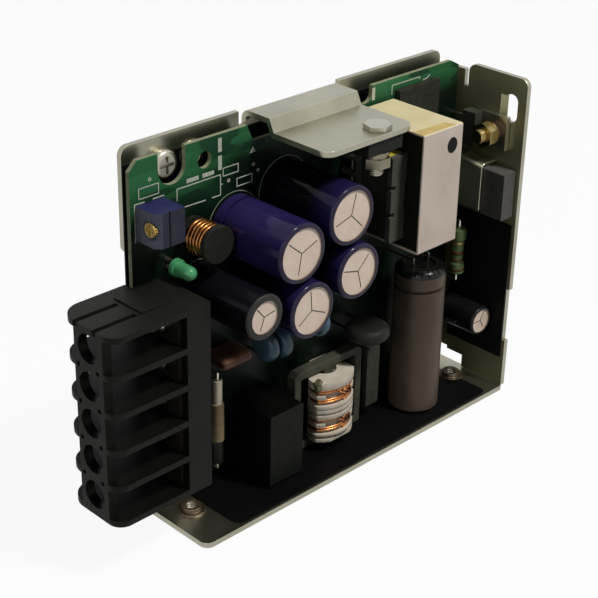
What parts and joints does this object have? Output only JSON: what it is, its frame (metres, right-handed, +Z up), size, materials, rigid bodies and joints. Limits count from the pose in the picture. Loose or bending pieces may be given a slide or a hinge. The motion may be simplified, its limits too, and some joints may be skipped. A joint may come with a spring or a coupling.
{
  "type": "open-frame power supply",
  "caption": "Open-frame mains power supply: a populated circuit board on a folded steel bracket with a screw terminal block at one end and a trimmer that turns.",
  "frame": {"origin": "centre of the underside of the base plate", "axes": "+X along the base towards the right plate, +Y towards the back plate, +Z up"},
  "size_m": [0.1156, 0.0256, 0.082],
  "materials": {
    "plated_steel": "satin zinc plate",
    "film": "satin black film",
    "board_green": "solder-resist gloss",
    "screw_steel": "bright plate",
    "block_black": "moulded satin",
    "terminal_metal": "nickel plate",
    "trimmer_blue": "moulded gloss",
    "dial_yellow": "moulded satin",
    "lamp_green": "clear gloss",
    "ferrite": "sintered matte",
    "copper_wire": "lacquered",
    "sleeve_indigo": "shrink sleeve gloss",
    "sleeve_brown": "shrink sleeve gloss",
    "sleeve_black": "shrink sleeve gloss",
    "former_grey": "moulded satin",
    "winding_tape": "taped coil",
    "wrap_white": "matte wrap",
    "former_white": "moulded gloss",
    "box_dark": "moulded satin",
    "fuse_body": "ceramic and sleeve",
    "disc_blue": "dipped gloss",
    "coating_grey": "dipped satin",
    "coating_brown": "dipped gloss",
    "box_grey": "moulded satin",
    "clip_steel": "spring steel",
    "resistor_green": "lacquer",
    "device_black": "moulded matte",
    "hardware_brass": "yellow plate",
    "bush_brown": "moulded"
  },
  "bodies": {
    "supply": {"chassis": "plated_steel", "insulating_sheet": "film", "side_insulator": "film", "circuit_board": "board_green", "ground_screw": "screw_steel", "board_screws": "screw_steel", "terminal_housing": "block_black", "terminal_plates": "terminal_metal", "terminal_screws": "terminal_metal", "trimmer_body": "trimmer_blue", "power_led": "lamp_green", "filter_choke_core": "ferrite", "filter_choke_winding": "copper_wire", "output_capacitor_1": "sleeve_indigo", "output_capacitor_2": "sleeve_indigo", "output_capacitor_3": "sleeve_indigo", "output_capacitor_4": "sleeve_indigo", "output_capacitor_5": "sleeve_indigo", "bulk_capacitor": "sleeve_brown", "auxiliary_capacitor": "sleeve_black", "transformer_core": "ferrite", "transformer_bobbin": "former_grey", "transformer_winding": "winding_tape", "transformer_wrap": "wrap_white", "line_choke_core": "ferrite", "line_choke_bobbin": "former_white", "line_choke_windings": "copper_wire", "mains_capacitor": "box_dark", "fuse": "fuse_body", "bypass_capacitor_1": "disc_blue", "bypass_capacitor_2": "disc_blue", "bypass_capacitor_3": "disc_blue", "inrush_thermistor": "coating_grey", "dipped_capacitor": "coating_brown", "snubber_capacitor": "box_grey", "snubber_clip": "clip_steel", "snubber_resistor": "resistor_green", "power_transistor": "device_black", "transistor_screw": "hardware_brass", "transistor_bush": "bush_brown", "transistor_washer": "hardware_brass", "transistor_nut": "hardware_brass", "output_rectifier": "device_black", "rectifier_bolt": "screw_steel", "rectifier_washers": "screw_steel", "rectifier_nut": "hardware_brass", "bridge_rectifier": "box_grey", "control_module": "device_black"},
    "dial": {"trimmer_dial": "dial_yellow"}
  },
  "joints": [
    {"name": "dial_turn", "type": "hinge", "parent": "supply", "child": "dial", "pos_m": [-0.0496, 0.00225, 0.0676], "axis": [1, 0, 0], "range_deg": [-130, 130]}
  ]
}
